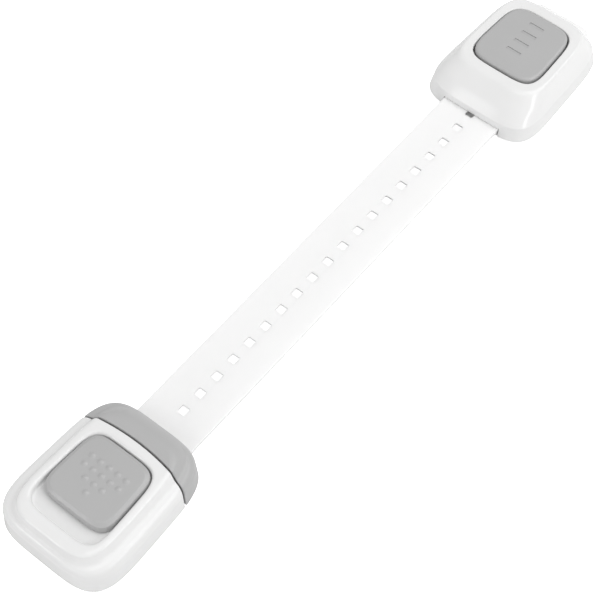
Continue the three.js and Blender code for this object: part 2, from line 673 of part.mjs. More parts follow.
function strap() {
  const half = STRAP_WIDTH / 2;
  const shape = new THREE.Shape();
  shape.moveTo(STRAP_START_X, -half);
  shape.lineTo(STRAP_END_X - STRAP_CORNER, -half);
  shape.absarc(STRAP_END_X - STRAP_CORNER, -half + STRAP_CORNER, STRAP_CORNER, -Math.PI / 2, 0, false);
  shape.absarc(STRAP_END_X - STRAP_CORNER, half - STRAP_CORNER, STRAP_CORNER, 0, Math.PI / 2, false);
  shape.lineTo(STRAP_START_X, half);
  const holes = Array.from({ length: HOLE_COUNT }, (_, i) => squareHole(FIRST_HOLE_X + i * HOLE_PITCH));
  const anchorX = LATCH_X + UNIT_END - STRAP_GRIP / 2;
  const anchorHoles = rodPair(anchorX, ANCHOR_SPREAD, ANCHOR_PEG + 2 * CLEARANCE, 0, PLATEAU);
  return prism(shape, STRAP_BOTTOM, STRAP_TOP).subtract(join(anchorHoles, ...holes));
}

// Adjuster unit

// Ring of the push button's outline, grown by a margin.
function pushRing(z, margin) {
  const halfWidth = PUSH_WIDTH / 2 + margin;
  return ring(z, PUSH_FRONT - margin, PUSH_REAR + margin, halfWidth, PUSH_POWER, BUTTON_TAPER);
}

function adjusterHousing() {
  const outside = shellOutside(ADJUSTER_SHOULDER);
  const collar = loft([pushRing(COLLAR_BOTTOM, BUTTON_GAP + SKIN), pushRing(PLATEAU, BUTTON_GAP + SKIN)]);
  const pushOpening = loft([pushRing(0, BUTTON_GAP), pushRing(PLATEAU + CUT_MARGIN, BUTTON_GAP)]);
  const notchHalf = STRAP_WIDTH / 2 + CLEARANCE;
  const notch = block(-UNIT_LENGTH, UNIT_LENGTH, -notchHalf, notchHalf, 0, STRAP_TOP + CLEARANCE);
  return outside
    .subtract(shellInside(ADJUSTER_SHOULDER))
    .add(collar.intersect(outside))
    .add(screwBosses(outside))
    .subtract(pushOpening)
    .subtract(notch);
}

function adjusterBase() {
  const plate = basePlate(floorOutline(ADJUSTER_SHOULDER, CLEARANCE));
  const sillHalf = STRAP_WIDTH / 2;
  const sill = block(-UNIT_LENGTH, UNIT_LENGTH, -sillHalf, sillHalf, PAD_THICKNESS, BASE_TOP);
  return plate.add(sill.intersect(shellOutside(ADJUSTER_SHOULDER)));
}

// Bridge over the strap that carries the pawl, the springs and the button's stops.
function chassis() {
  const front = PUSH_FRONT - CHASSIS_OVERHANG;
  const rear = PUSH_REAR + CHASSIS_OVERHANG;
  const railInner = STRAP_WIDTH / 2 + CLEARANCE;
  const railOuter = railInner + SKIN;
  const roof = block(front, rear, -railOuter, railOuter, ROOF_BOTTOM, ROOF_TOP);
  const rails = blockPair(front, rear, railInner, railOuter, BASE_TOP, ROOF_TOP);
  const earInner = ROCKER_WIDTH / 2 + CLEARANCE;
  const earOuter = earInner + EAR_THICKNESS;
  const earHalf = ROCKER_HUB + SKIN / 2;
  const earTop = PIVOT_Z + earHalf;
  const ears = blockPair(PIVOT_X - earHalf, PIVOT_X + earHalf, earInner, earOuter, ROOF_BOTTOM, earTop);
  const pinBore = crossRod(PIVOT_X, PIVOT_Z, PIVOT_PIN + 2 * CLEARANCE, STRAP_WIDTH);
  const windowX0 = TOOTH_X - 2 * TOOTH_LENGTH;
  const windowX1 = TOOTH_X + 2 * TOOTH_LENGTH;
  const toothWindow = block(windowX0, windowX1, -earInner, earInner, 0, ROOF_TOP + CUT_MARGIN);
  const pegDiameter = PUSH_SPRING.diameter - 2 * PUSH_SPRING.wire - 2 * CLEARANCE;
  const springPegs = rodPair(TOOTH_X, SPRING_SPREAD, pegDiameter, ROOF_BOTTOM, ROOF_TOP + SKIN);
  const seatRoom = rodPair(0, SCREW_SPREAD, SCREW_SEAT_DIAMETER + 2 * CLEARANCE, 0, PLATEAU);
  const stopTop = PUSH_BOTTOM - PUSH_TRAVEL - CLEARANCE;
  const stopHalf = ROCKER_WIDTH / 2;
  const frontStop = block(PUSH_FRONT, PUSH_FRONT + BUTTON_WALL, -stopHalf, stopHalf, ROOF_BOTTOM, stopTop);
  const rearStop = block(PUSH_REAR - BUTTON_WALL, PUSH_REAR, -stopHalf, stopHalf, ROOF_BOTTOM, stopTop);
  return join(roof, rails, ears, springPegs, frontStop, rearStop)
    .subtract(join(pinBore, toothWindow, seatRoom));
}

function rockerPawl() {
  const armLow = PIVOT_Z - SKIN;
  const padTop = PIVOT_Z + PRESS_PAD;
  const toothFront = TOOTH_X - TOOTH_LENGTH / 2;
  const toothRear = TOOTH_X + TOOTH_LENGTH / 2;
  const toothTip = STRAP_TOP - TOOTH_DEPTH;
  const padRear = PIVOT_X + ROCKER_ARM + TOOTH_LENGTH / 2;
  const padFront = PIVOT_X + ROCKER_ARM - TOOTH_LENGTH / 2;
  const half = ROCKER_WIDTH / 2;
  const arms = sideProfile([
    [toothFront, armLow],
    [PIVOT_X, armLow],
    [padRear, padTop - SKIN],
    [padRear, padTop],
    [padFront, padTop],
    [PIVOT_X, PIVOT_Z + ROCKER_HUB],
    [toothRear, PIVOT_Z + CLEARANCE],
    [toothFront, PIVOT_Z + CLEARANCE],
  ], -half, half);
  const hub = crossRod(PIVOT_X, PIVOT_Z, 2 * ROCKER_HUB, half);
  const tooth = block(toothFront, toothRear, -TOOTH_WIDTH / 2, TOOTH_WIDTH / 2, toothTip, PIVOT_Z);
  const bore = crossRod(PIVOT_X, PIVOT_Z, PIVOT_PIN + 2 * CLEARANCE, STRAP_WIDTH);
  return join(arms, hub, tooth).subtract(bore);
}

function pivotPin() {
  return crossRod(PIVOT_X, PIVOT_Z, PIVOT_PIN, ROCKER_WIDTH / 2 + CLEARANCE + EAR_THICKNESS);
}

function pushButton() {
  const lid = buttonLid(PUSH_FRONT, PUSH_REAR, PUSH_WIDTH, PUSH_POWER, PUSH_BOTTOM, PUSH_TOP);
  const flange = loft([pushRing(PUSH_BOTTOM, PUSH_FLANGE), pushRing(FLANGE_TOP, PUSH_FLANGE)])
    .subtract(loft([pushRing(0, -BUTTON_WALL), pushRing(PLATEAU, -BUTTON_WALL)]))
    .subtract(join(...screwPlaces().map((y) => rod(0, y, SCREW_BOSS + 2 * CLEARANCE, 0, PLATEAU))));
  const ribX = PIVOT_X + ROCKER_ARM;
  const ribBottom = PIVOT_Z + PRESS_PAD + CLEARANCE;
  const half = ROCKER_WIDTH / 2;
  const ribTop = PUSH_TOP - BUTTON_WALL + CLEARANCE;
  const rib = block(ribX - SKIN / 2, ribX + SKIN / 2, -half, half, ribBottom, ribTop);
  return join(lid, flange, rib);
}

function pushSpring(name, y) {
  const length = PUSH_TOP - BUTTON_WALL - ROOF_TOP - 2 * CLEARANCE;
  const geometry = springGeometry(name, PUSH_SPRING, length);
  return geometry.translate(TOOTH_X, y, ROOF_TOP + CLEARANCE);
}

// Materials
const WHITE_GLOSS = { color: 0xf2f3f4, roughness: 0.22, metalness: 0 };
const WHITE_STRAP = { color: 0xf4f4f2, roughness: 0.5, metalness: 0 };
const GREY_SATIN = { color: 0xb4b5b6, roughness: 0.38, metalness: 0 };
const FOAM = { color: 0xe6e6e4, roughness: 0.9, metalness: 0 };
const NATURAL_ACETAL = { color: 0xe9e7e0, roughness: 0.45, metalness: 0 };
const STEEL = { color: 0xc8cacc, roughness: 0.3, metalness: 1 };

function addPiece(parent, name, form, look) {
  const geometry = form.isBufferGeometry ? form : toGeometry(form);
  const mesh = new THREE.Mesh(geometry, new THREE.MeshStandardMaterial(look));
  mesh.name = name;
  parent.add(mesh);
}

function buildLatch() {
  const unit = new THREE.Group();
  unit.position.x = LATCH_X;
  const base = latchBase();
  const padOutline = floorOutline(LATCH_SHOULDER, CLEARANCE + PAD_MARGIN)
    .subtract(aheadOfSplit(-SPLIT_GAP / 2 - WALL - CLEARANCE - PAD_MARGIN));
  addPiece(unit, 'latch_housing', latchHousing(), WHITE_GLOSS);
  addPiece(unit, 'latch_base', base, WHITE_GLOSS);
  addPiece(unit, 'latch_adhesive_pad', pad(padOutline), FOAM);
  addPiece(unit, 'catch_clip', catchClip(), NATURAL_ACETAL);
  addPiece(unit, 'latch_return_spring', returnSpring(), STEEL);
  addPiece(unit, 'slide_button', slideButton(), GREY_SATIN);
  addPiece(unit, 'latch_slider', latchSlider(), NATURAL_ACETAL);
  addPiece(unit, 'slider_screw', sliderScrew(), STEEL);
  addPiece(unit, 'plug_cover', plugCover(), GREY_SATIN);
  addPiece(unit, 'plug_body', plugBody(), GREY_SATIN);
  screwPlaces().forEach((y, i) => addPiece(unit, `latch_screw_${i + 1}`, screw(y), STEEL));
  return unit;
}

function buildAdjuster() {
  const unit = new THREE.Group();
  unit.position.x = ADJUSTER_X;
  const padOutline = floorOutline(ADJUSTER_SHOULDER, CLEARANCE + PAD_MARGIN);
  addPiece(unit, 'adjuster_housing', adjusterHousing(), WHITE_GLOSS);
  addPiece(unit, 'adjuster_base', adjusterBase(), WHITE_GLOSS);
  addPiece(unit, 'adjuster_adhesive_pad', pad(padOutline), FOAM);
  addPiece(unit, 'adjuster_chassis', chassis(), NATURAL_ACETAL);
  addPiece(unit, 'rocker_pawl', rockerPawl(), NATURAL_ACETAL);
  addPiece(unit, 'pawl_pivot_pin', pivotPin(), STEEL);
  addPiece(unit, 'push_button', pushButton(), GREY_SATIN);
  [SPRING_SPREAD / 2, -SPRING_SPREAD / 2].forEach((y, i) => {
    const name = `push_spring_${i + 1}`;
    addPiece(unit, name, pushSpring(name, y), STEEL);
  });
  screwPlaces().forEach((y, i) => addPiece(unit, `adjuster_screw_${i + 1}`, screw(y), STEEL));
  return unit;
}

const lock = new THREE.Group();
lock.add(buildLatch());
lock.add(buildAdjuster());
addPiece(lock, 'strap', strap(), WHITE_STRAP);

export default lock;
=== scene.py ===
"""Looks of the strap lock: smooth shells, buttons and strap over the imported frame, seen as in the photo."""
import json
import math

import bmesh
import bpy
import numpy as np
from mathutils import Matrix


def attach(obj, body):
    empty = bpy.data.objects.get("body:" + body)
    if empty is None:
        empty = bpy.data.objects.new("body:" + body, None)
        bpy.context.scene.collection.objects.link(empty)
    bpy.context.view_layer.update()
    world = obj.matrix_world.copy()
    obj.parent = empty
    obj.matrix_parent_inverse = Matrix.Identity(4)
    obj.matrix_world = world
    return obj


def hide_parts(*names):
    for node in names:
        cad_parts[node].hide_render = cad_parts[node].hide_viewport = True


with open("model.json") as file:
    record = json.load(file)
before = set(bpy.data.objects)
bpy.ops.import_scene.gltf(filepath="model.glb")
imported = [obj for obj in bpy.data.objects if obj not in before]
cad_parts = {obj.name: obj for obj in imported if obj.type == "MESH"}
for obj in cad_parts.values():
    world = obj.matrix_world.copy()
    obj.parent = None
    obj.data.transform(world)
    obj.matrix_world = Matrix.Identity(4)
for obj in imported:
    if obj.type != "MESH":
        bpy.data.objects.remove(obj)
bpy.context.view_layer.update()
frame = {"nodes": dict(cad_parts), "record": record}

# Sizes in millimetres, as in the solids
MM = 0.001
CLEARANCE = 0.3
WALL = 1.6
SKIN = 1.2
UNIT_START, UNIT_END = -23.75, 23.75
UNIT_WIDTH = 38.2
LATCH_X, ADJUSTER_X = -96.125, 92.525
PLAN_TAPER = 0.002
PLATEAU_POWER = 4.6
PAD_TOP = 0.8
PLATEAU = 12.4
EDGE_ROUND = 0.4
SPLIT_X = 14.45
SPLIT_RADIUS = 69.0
SPLIT_GAP = 0.5
SPLIT_CORNER = 0.5
SPLIT_RIM = 0.45
PLUG_LENGTH = 9.3
TRACK_START, TRACK_END = -16.35, 10.85
TRACK_FLOOR = 10.0
TRACK_FLARE = 0.9
TRACK_FILLET = 0.6
SLIDE_START, SLIDE_END = -11.25, 10.35
SLIDE_WIDTH = 22.3
SLIDE_POWER = 5.2
SLIDE_BOTTOM, SLIDE_TOP = 10.3, 13.1
BUTTON_GAP = 0.5
BUTTON_TAPER = 0.0035
SLIDE_EDGE = [(-0.2, 2.7), (-0.02, 1.1), (0.03, 0.8), (0.14, 0.58), (0.4, 0.42), (0.9, 0.11),
              (1.02, 0.05), (1.2, 0.01), (1.5, 0)]
PUSH_EDGE = [(0, 0.8), (0.06, 0.49), (0.23, 0.23), (0.49, 0.06), (0.8, 0)]
BUTTON_WALL = 1.3
POST_LENGTH, POST_WIDTH = 6.0, 5.0
SLIDE_TRAVEL = 4.2
PUSH_START, PUSH_END = -10.15, 14.95
PUSH_WIDTH = 22.6
PUSH_POWER = 4.6
PUSH_TOP = 13.3
PUSH_BOTTOM, FLANGE_TOP = 7.7, 8.9
PUSH_FLANGE = 1.1
PUSH_RIM = 0.35
COLLAR_BOTTOM = 9.2
STRAP_WIDTH = 20.0
STRAP_START, STRAP_END = -78.575, 119.875
STRAP_BOTTOM, STRAP_TOP = 2.5, 3.9
STRAP_CORNER = 2.5
STRAP_EDGE = 0.22
STRAP_SLACK = 0.12
HOLE_SIZE, HOLE_PITCH, HOLE_COUNT = 2.55, 7.0, 26
FIRST_HOLE = -63.875
HOLE_CORNER = 0.35
HOLE_DRAFT = 0.4
DRAFT_START = 0.15
ANCHOR_X = -75.475
ANCHOR_HOLE, ANCHOR_SPREAD = 2.6, 12.0
TONGUE_WIDTH = 14.0
TONGUE_BOTTOM, TONGUE_TOP = 4.0, 6.2
GRIP_ROWS = (5, 5, 3, 1)
GRIP_PITCH = 3.0
GRIP_RADIUS = 1.0
GRIP_HEIGHT = 0.35
GRIP_INSET = 6.7
BAR_COUNT = 4
BAR_PITCH = 4.1
BAR_LENGTH, BAR_WIDTH, BAR_DEPTH = 5.0, 1.1, 0.25
BAR_MIDDLE = (4.2, 0.35)
CUT_OVERRUN = 2.0

# Points round an outline's edge, its corners and its split line, and round a button
RING = 236
CORNER = 7
SPLIT = 72
BUTTON_RING = 200

# Shoulders: how far each side draws in, and the curve of that share against the rise
LATCH = {
    "power": 4.4, "trim": 0, "draft": 0.35, "wall": 1.6,
    "start": 3.5, "end": 5.6, "side": 5.4, "foot": 7.2,
    "curve": [(0, 0), (0.1, 0.31), (0.3, 0.47), (0.6, 0.54), (0.8, 0.78), (0.92, 0.95), (1.1, 1.0)],
}
ADJUSTER = {
    "power": 5.2, "trim": 0.12, "draft": 0.85, "wall": 1.0,
    "start": 10.4, "end": 4.8, "side": 4.6, "foot": 6.0,
    "curve": [(0, 0), (0.012, 0.02), (0.05, 0.065), (0.12, 0.155), (0.36, 0.44),
              (0.68, 0.75), (0.87, 0.93), (1.0, 0.99), (1.1, 1.0)],
}


# Outlines

def outline(x0, x1, half, power, taper, count=1800):
    """Rounded rectangle whose sides bulge a little, from +X round by +Y."""
    angle = np.linspace(0, 2 * math.pi, count, endpoint=False)
    bulge = lambda value: np.sign(value) * np.abs(value) ** (2 / power)
    x = (x0 + x1) / 2 + (x1 - x0) / 2 * bulge(np.cos(angle))
    y = half * bulge(np.sin(angle)) * (1 - taper * x)
    return np.column_stack([x, y])


def along(points, places):
    """Points at given lengths along an open line."""
    steps = np.hypot(*np.diff(points, axis=0).T)
    length = np.concatenate([[0], np.cumsum(steps)])
    return np.column_stack([np.interp(places, length, points[:, k]) for k in (0, 1)])


def line_length(points):
    return np.hypot(*np.diff(points, axis=0).T).sum()


def even_loop(points, count):
    """Closed outline with evenly spaced points."""
    closed = np.vstack([points, points[:1]])
    return along(closed, np.linspace(0, line_length(closed), count, endpoint=False))


def unit_outline(unit, share, inset, end=None):
    """Outline of a unit at a share of its shoulder, whose strap end may lie at another share."""
    draft = unit["draft"]
    reach = {side: draft + share * (unit[side] - draft) + inset for side in ("start", "end", "side")}
    if end is not None:
        reach["end"] = draft + end * (unit["end"] - draft) + inset
    power = unit["power"] + min(share, 1) * (PLATEAU_POWER - unit["power"])
    half = UNIT_WIDTH / 2 - unit["trim"] - reach["side"]
    return outline(UNIT_START + reach["start"], UNIT_END - reach["end"], half, power, PLAN_TAPER)


def split_x(y, offset):
    """Place of the curved split line, or of a line at an offset from it."""
    return SPLIT_X - SPLIT_RADIUS + np.sqrt((SPLIT_RADIUS + offset) ** 2 - y ** 2)


def split_loop(points, offset, ahead):
    """Part of an outline on one side of the split line, closed along that line, with rounded corners."""
    side = points[:, 0] - split_x(points[:, 1], offset)
    behind = np.flatnonzero(side < 0)
    first, last = behind[0], behind[-1]

    def crossing(i, j):
        share = side[i] / (side[i] - side[j])
        return points[i] + share * (points[j] - points[i])

    upper, lower = crossing(first - 1, first), crossing(last, last + 1)
    if ahead:
        edge = np.vstack([[lower], points[last + 1:], points[:first], [upper]])
        y = np.linspace(upper[1], lower[1], 400)
    else:
        edge = np.vstack([[upper], points[first:last + 1], [lower]])
        y = np.linspace(lower[1], upper[1], 400)
    cut = np.column_stack([split_x(y, offset), y])
    edge_points = along(edge, np.linspace(SPLIT_CORNER, line_length(edge) - SPLIT_CORNER, RING))
    cut_points = along(cut, np.linspace(SPLIT_CORNER, line_length(cut) - SPLIT_CORNER, SPLIT))

    def bend(a, tip, b):
        t = np.linspace(0, 1, CORNER + 2)[1:-1, None]
        return (1 - t) ** 2 * a + 2 * t * (1 - t) * tip + t ** 2 * b

    return np.vstack([
        edge_points,
        bend(edge_points[-1], edge[-1], cut_points[0]),
        cut_points,
        bend(cut_points[-1], edge[0], edge_points[0]),
    ])


def smooth_curve(points, steps):
    """Catmull-Rom curve through a few points."""
    p = np.array(points, float)
    p = np.vstack([2 * p[0] - p[1], p, 2 * p[-1] - p[-2]])
    result = []
    for i in range(1, len(p) - 2):
        for t in np.arange(steps) / steps:
            a, b, c, d = p[i - 1:i + 3]
            result.append(0.5 * (2 * b + (c - a) * t + (2 * a - 5 * b + 4 * c - d) * t ** 2
                                 + (3 * b - a - 3 * c + d) * t ** 3))
    result.append(p[-2])
    return np.array(result)


def quarter(steps):
    """Sine and one less cosine over a right angle."""
    angles = np.linspace(0, math.pi / 2, steps)
    return zip(np.sin(angles), 1 - np.cos(angles))


# Meshes

def level(points, z):
    """Flat points at a height."""
    return np.column_stack([points, np.full(len(points), z)])


def skin(name, loops, closed=False):
    """Surface through loops of equal counts, with flat caps or closed back on itself."""
    count = len(loops[0])
    vertices = np.vstack(loops)
    faces = []
    rows = len(loops)
    for row in range(rows if closed else rows - 1):
        low, high = row * count, (row + 1) % rows * count
        for i in range(count):
            j = (i + 1) % count
            faces.append((low + i, low + j, high + j, high + i))
    if not closed:
        faces.append(tuple(range(count - 1, -1, -1)))
        faces.append(tuple(range((rows - 1) * count, rows * count)))
    mesh = bpy.data.meshes.new(name)
    mesh.from_pydata((vertices * MM).tolist(), [], faces)
    mesh.update()
    return add_object(name, mesh)


def add_object(name, mesh):
    piece = bpy.data.objects.new(name, mesh)
    bpy.context.scene.collection.objects.link(piece)
    return piece


def shift(loops, x):
    return [loop + np.array([x, 0, 0]) for loop in loops]


def cut_blocks(piece, blocks):
    """Cuts blocks, given by their lowest and highest corners, out of a piece."""
    bm = bmesh.new()
    for low, high in blocks:
        made = bmesh.ops.create_cube(bm, size=1)["verts"]
        for vertex in made:
            for k in range(3):
                vertex.co[k] = MM * (low[k] if vertex.co[k] < 0 else high[k])
    mesh = bpy.data.meshes.new("cutter")
    bm.to_mesh(mesh)
    bm.free()
    cutter = add_object("cutter", mesh)
    modifier = piece.modifiers.new("cut", "BOOLEAN")
    modifier.operation = "DIFFERENCE"
    modifier.solver = "EXACT"
    modifier.object = cutter
    result = bpy.data.meshes.new_from_object(piece.evaluated_get(bpy.context.evaluated_depsgraph_get()))
    piece.modifiers.clear()
    piece.data = result
    bpy.data.objects.remove(cutter)


def finish_mesh(piece, sharp=38):
    """Outward faces, smooth shading with real corners kept sharp."""
    bm = bmesh.new()
    bm.from_mesh(piece.data)
    bmesh.ops.remove_doubles(bm, verts=bm.verts, dist=1e-6)
    bmesh.ops.recalc_face_normals(bm, faces=bm.faces)
    bm.to_mesh(piece.data)
    bm.free()
    piece.data.shade_smooth()
    piece.data.set_sharp_from_angle(angle=math.radians(sharp))
    weighted = piece.modifiers.new("flat faces first", "WEIGHTED_NORMAL")
    weighted.keep_sharp = True


# Shells

def end_share(unit, share, rise):
    """Share of the strap end: plainly rounded on the latch, and as on the other sides on the adjuster."""
    if unit is ADJUSTER or share >= 1:
        return share
    return min(1 - max(1 - max(rise, 0) ** 1.5, 0) ** 0.7, share)


def shoulder_loops(unit, loop_of, steps=6):
    return [
        level(loop_of(unit_outline(unit, share, 0, end_share(unit, share, rise))),
              unit["foot"] + rise * (PLATEAU - unit["foot"]))
        for share, rise in smooth_curve(unit["curve"], steps)
    ]


def bottom_loops(unit, loop_of):
    """Rounded bottom edge, then the wall's foot and middle."""
    loops = [
        level(loop_of(unit_outline(unit, 0, EDGE_ROUND * (1 - sine) - unit["draft"])),
              PAD_TOP + EDGE_ROUND * rise)
        for sine, rise in quarter(5)
    ]
    height = PAD_TOP + EDGE_ROUND
    for share in (0.3, 0.6, 0.85):
        z = height + share * (unit["foot"] - height)
        loops.append(level(loop_of(unit_outline(unit, 0, (share - 1) * unit["draft"])), z))
    return loops


def inner_loops(unit, loop_of, top):
    """Inside of the wall, from just under the shoulder down to the bottom edge."""
    loops = [level(loop_of(unit_outline(unit, 0, unit["wall"] - unit["draft"])), PAD_TOP)]
    for share, rise in smooth_curve(unit["curve"], 2):
        z = unit["foot"] + rise * (PLATEAU - unit["foot"] - unit["wall"])
        if z < top - 0.1:
            loops.append(level(loop_of(unit_outline(unit, share, unit["wall"])), z))
            last = share
    loops.append(level(loop_of(unit_outline(unit, last + 0.02, unit["wall"])), top))
    return loops[::-1]


def recess(outer, x0, x1, half, power, sections):
    """Loops of a recess whose points lie in the same directions as those of the loop round it."""
    centre = np.array([(x0 + x1) / 2, 0])
    directions = np.arctan2(outer[:, 1], outer[:, 0] - centre[0])
    loops = []
    for margin, z in sections:
        edge = outline(x0 - margin, x1 + margin, half + margin, power, BUTTON_TAPER)
        angles = np.unwrap(np.arctan2(edge[:, 1], edge[:, 0] - centre[0]))
        wrapped = np.concatenate([angles - 2 * math.pi, angles, angles + 2 * math.pi])
        tripled = np.vstack([edge, edge, edge])
        points = np.column_stack([np.interp(directions, wrapped, tripled[:, k]) for k in (0, 1)])
        loops.append(level(points, z))
    return loops


def latch_loops(ahead, wall):
    """Inside, wall, shoulder and rounded rim of the latch on one side of its split line."""
    away = 1 if ahead else -1

    def split_at(distance):
        return lambda points: split_loop(points, away * distance, ahead)

    outer_loop = split_at(SPLIT_GAP / 2)
    loops = inner_loops(LATCH, split_at(SPLIT_GAP / 2 + wall), TRACK_FLOOR - SKIN)
    loops += bottom_loops(LATCH, outer_loop)
    loops += [loop for loop in shoulder_loops(LATCH, outer_loop) if loop[0, 2] < PLATEAU - SPLIT_RIM]
    height = PLATEAU - LATCH["foot"]
    shoulder = smooth_curve(LATCH["curve"], 40)
    heights = LATCH["foot"] + shoulder[:, 1] * height
    top_share = LATCH["curve"][-1][0]
    for sine, rise in quarter(7):
        z = PLATEAU - SPLIT_RIM * (1 - sine)
        share = np.interp(z, heights, shoulder[:, 0]) if sine < 1 else top_share
        end = end_share(LATCH, share, (z - LATCH["foot"]) / height) if ahead else share
        points = unit_outline(LATCH, share, 0, end)
        loops.append(level(split_at(SPLIT_GAP / 2 + SPLIT_RIM * rise)(points), z))
    return loops


def latch_housing():
    loops = latch_loops(False, WALL)
    half = SLIDE_WIDTH / 2 + BUTTON_GAP
    sections = [(TRACK_FLARE + 0.25, PLATEAU)]
    for sine, rise in quarter(8):
        sections.append((TRACK_FLARE * (1 - sine), PLATEAU - TRACK_FLARE * rise))
    for sine, rise in quarter(6):
        sections.append((-TRACK_FILLET * rise, TRACK_FLOOR + TRACK_FILLET * (1 - sine)))
    sections.append((-1.8, TRACK_FLOOR))
    loops += recess(loops[-1][:, :2], TRACK_START, TRACK_END, half, SLIDE_POWER, sections)
    flat = loops[-1]
    middle = flat.mean(axis=0)
    loops += [middle + (flat - middle) * share for share in (0.85, 0.7, 0.5, 0.3, 0.1)]
    piece = skin("latch_shell", shift(loops, LATCH_X))
    post = LATCH_X + (SLIDE_START + SLIDE_END) / 2
    post_reach = POST_LENGTH / 2 + CLEARANCE
    post_half = POST_WIDTH / 2 + CLEARANCE
    tongue_half = TONGUE_WIDTH / 2 + CLEARANCE
    cut_blocks(piece, [
        ((post - post_reach - SLIDE_TRAVEL, -post_half, TRACK_FLOOR - CUT_OVERRUN),
         (post + post_reach, post_half, TRACK_FLOOR + CUT_OVERRUN)),
        ((LATCH_X + SPLIT_X - PLUG_LENGTH, -tongue_half, TONGUE_BOTTOM - CLEARANCE),
         (LATCH_X + UNIT_END, tongue_half, TONGUE_TOP + CLEARANCE)),
    ])
    return piece


def plug_cover():
    loops = latch_loops(True, SKIN)
    last = loops[-1]
    middle = last.mean(axis=0)
    loops.append(middle + (last - middle) * np.array([0.86, 0.97, 1]))
    piece = skin("plug_shell", shift(loops, LATCH_X))
    tongue_half = TONGUE_WIDTH / 2 + CLEARANCE
    slot_half = STRAP_WIDTH / 2 + CLEARANCE
    middle = LATCH_X + SPLIT_X + PLUG_LENGTH / 2
    cut_blocks(piece, [
        ((LATCH_X, -tongue_half, TONGUE_BOTTOM - CLEARANCE), (middle, tongue_half, TONGUE_TOP + CLEARANCE)),
        ((middle, -slot_half, STRAP_BOTTOM - CLEARANCE),
         (LATCH_X + UNIT_END + CUT_OVERRUN, slot_half, STRAP_TOP + CLEARANCE)),
    ])
    return piece


def adjuster_housing():
    whole = lambda points: even_loop(points, RING + SPLIT)
    loops = inner_loops(ADJUSTER, whole, COLLAR_BOTTOM)
    loops += bottom_loops(ADJUSTER, whole)
    loops += shoulder_loops(ADJUSTER, whole)
    half = PUSH_WIDTH / 2 + BUTTON_GAP
    sections = [(PUSH_RIM + 0.3, PLATEAU)]
    for sine, rise in quarter(7):
        sections.append((PUSH_RIM * (1 - sine), PLATEAU - PUSH_RIM * rise))
    sections += [(0, PLATEAU - 1.5), (0, COLLAR_BOTTOM)]
    start, end = PUSH_START - BUTTON_GAP, PUSH_END + BUTTON_GAP
    loops += recess(loops[-1][:, :2], start, end, half, PUSH_POWER, sections)
    piece = skin("adjuster_shell", shift(loops, ADJUSTER_X), closed=True)
    half = STRAP_WIDTH / 2 + CLEARANCE
    cut_blocks(piece, [
        ((ADJUSTER_X + UNIT_START - CUT_OVERRUN, -half, 0),
         (ADJUSTER_X + UNIT_END + CUT_OVERRUN, half, STRAP_TOP + STRAP_SLACK)),
    ])
    return piece


# Buttons

def button(name, x, x0, x1, width, power, bottom, top, edge, relief, flange=0, flange_top=0):
    """Hollow button with a rounded edge, whose top follows a relief in X and Y."""
    def ring(inset, z):
        points = outline(x0 + inset, x1 - inset, width / 2 - inset, power, BUTTON_TAPER)
        return level(even_loop(points, BUTTON_RING), z)

    loops = [ring(BUTTON_WALL, top - BUTTON_WALL), ring(BUTTON_WALL, bottom), ring(-flange, bottom)]
    if flange:
        loops += [ring(-flange, flange_top), ring(0, flange_top)]
    for inset, drop in smooth_curve(edge, 5):
        loops.append(ring(inset, top - drop))
    flat = loops[-1]
    centre = np.array([(x0 + x1) / 2, 0, top])
    for share in np.linspace(0.985, 0.01, 72):
        loop = centre + (flat - centre) * share
        loop[:, 2] += relief(loop[:, 0], loop[:, 1])
        loops.append(loop)
    return skin(name, shift(loops, x))


def dots(x, y):
    """Raised dots in rows that narrow away from the strap."""
    height = np.zeros(len(x))
    for row, count in enumerate(GRIP_ROWS):
        for i in range(count):
            dx = x - (SLIDE_END - GRIP_INSET - row * GRIP_PITCH)
            dy = y - (i - (count - 1) / 2) * GRIP_PITCH
            far = np.minimum(np.hypot(dx, dy) / GRIP_RADIUS, 1)
            height += GRIP_HEIGHT * (0.5 + 0.5 * np.cos(math.pi * far)) ** 0.62
    return height


def slide_button():
    return button("slide_cap", LATCH_X, SLIDE_START, SLIDE_END, SLIDE_WIDTH, SLIDE_POWER,
                  SLIDE_BOTTOM, SLIDE_TOP, SLIDE_EDGE, dots)


def push_button():
    """Flat button with a row of grip grooves across it."""
    flat = lambda x, y: np.zeros(len(x))
    piece = button("push_cap", ADJUSTER_X, PUSH_START, PUSH_END, PUSH_WIDTH, PUSH_POWER,
                   PUSH_BOTTOM, PUSH_TOP, PUSH_EDGE, flat, PUSH_FLANGE, FLANGE_TOP)
    grooves = []
    for i in range(BAR_COUNT):
        x = ADJUSTER_X + BAR_MIDDLE[0] + (i - (BAR_COUNT - 1) / 2) * BAR_PITCH
        y = BAR_MIDDLE[1]
        grooves.append(((x - BAR_WIDTH / 2, y - BAR_LENGTH / 2, PUSH_TOP - BAR_DEPTH),
                        (x + BAR_WIDTH / 2, y + BAR_LENGTH / 2, PUSH_TOP + CUT_OVERRUN)))
    cut_blocks(piece, grooves)
    return piece


# Strap

def rounded_rectangle(x0, x1, y0, y1, radius, steps):
    points = []
    left, right, low, high = x0 + radius, x1 - radius, y0 + radius, y1 - radius
    corners = [(right, high), (left, high), (left, low), (right, low)]
    for k, (cx, cy) in enumerate(corners):
        for angle in np.linspace(0, math.pi / 2, steps) + k * math.pi / 2:
            points.append((cx + radius * math.cos(angle), cy + radius * math.sin(angle)))
    return points


